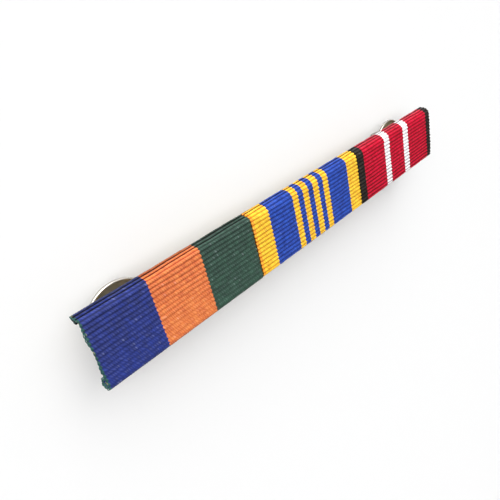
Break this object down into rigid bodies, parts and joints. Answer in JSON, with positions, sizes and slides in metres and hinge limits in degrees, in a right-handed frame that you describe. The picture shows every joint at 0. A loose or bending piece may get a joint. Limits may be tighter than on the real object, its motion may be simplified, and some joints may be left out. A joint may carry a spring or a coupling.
{
  "type": "medal ribbon bar",
  "caption": "Medal ribbon bar: striped ribbed ribbons wound side by side on a brass channel, with pins and butterfly clutches behind.",
  "frame": {"origin": "on the surface that the part lies on, below the middle of the bar, with the bar face up on its clutch wings", "axes": "+X along the bar to the wearer's left end as seen from the front, +Y to the bar's top edge, +Z out of its face"},
  "size_m": [0.096, 0.0124, 0.0094],
  "materials": {
    "brass_sheet": "rolled sheet, satin",
    "ribbon_navy_orange_green": "ribbed weave in thirds of navy, orange and dark green",
    "ribbon_yellow_blue": "ribbed weave in yellow with blue stripes",
    "ribbon_red_white_black": "ribbed weave in red with white stripes and black edges",
    "nickel_plate": "polished nickel plate",
    "nickel_spring": "nickel plated spring sheet"
  },
  "bodies": {
    "bar": {"backing_bar": "brass_sheet", "ribbon_left": "ribbon_navy_orange_green", "ribbon_middle": "ribbon_yellow_blue", "ribbon_right": "ribbon_red_white_black"},
    "clutch_left": {"clutch_cap_left": "nickel_plate"},
    "clutch_right": {"clutch_cap_right": "nickel_plate"},
    "wing_upper_left": {"wing_upper_left": "nickel_spring"},
    "wing_lower_left": {"wing_lower_left": "nickel_spring"},
    "wing_upper_right": {"wing_upper_right": "nickel_spring"},
    "wing_lower_right": {"wing_lower_right": "nickel_spring"}
  },
  "joints": [
    {"name": "clutch_slide_left", "type": "slide", "parent": "bar", "child": "clutch_left", "axis": [0, 0, -1], "range_m": [0, 0.006]},
    {"name": "clutch_slide_right", "type": "slide", "parent": "bar", "child": "clutch_right", "axis": [0, 0, -1], "range_m": [0, 0.006]},
    {"name": "wing_pinch_upper_left", "type": "hinge", "parent": "clutch_left", "child": "wing_upper_left", "pos_m": [-0.04037, 0.00176, 0.00317], "axis": [-1, 0, 0], "range_deg": [0, 12], "stiffness_Nm_per_rad": 0.04},
    {"name": "wing_pinch_lower_left", "type": "hinge", "parent": "clutch_left", "child": "wing_lower_left", "pos_m": [-0.04037, -0.00154, 0.00317], "axis": [1, 0, 0], "range_deg": [0, 12], "stiffness_Nm_per_rad": 0.04},
    {"name": "wing_pinch_upper_right", "type": "hinge", "parent": "clutch_right", "child": "wing_upper_right", "pos_m": [0.03752, 0.00176, 0.00317], "axis": [-0.9976, 0.0698, 0], "range_deg": [0, 12], "stiffness_Nm_per_rad": 0.04},
    {"name": "wing_pinch_lower_right", "type": "hinge", "parent": "clutch_right", "child": "wing_lower_right", "pos_m": [0.03728, -0.00154, 0.00317], "axis": [0.9976, -0.0698, 0], "range_deg": [0, 12], "stiffness_Nm_per_rad": 0.04}
  ]
}
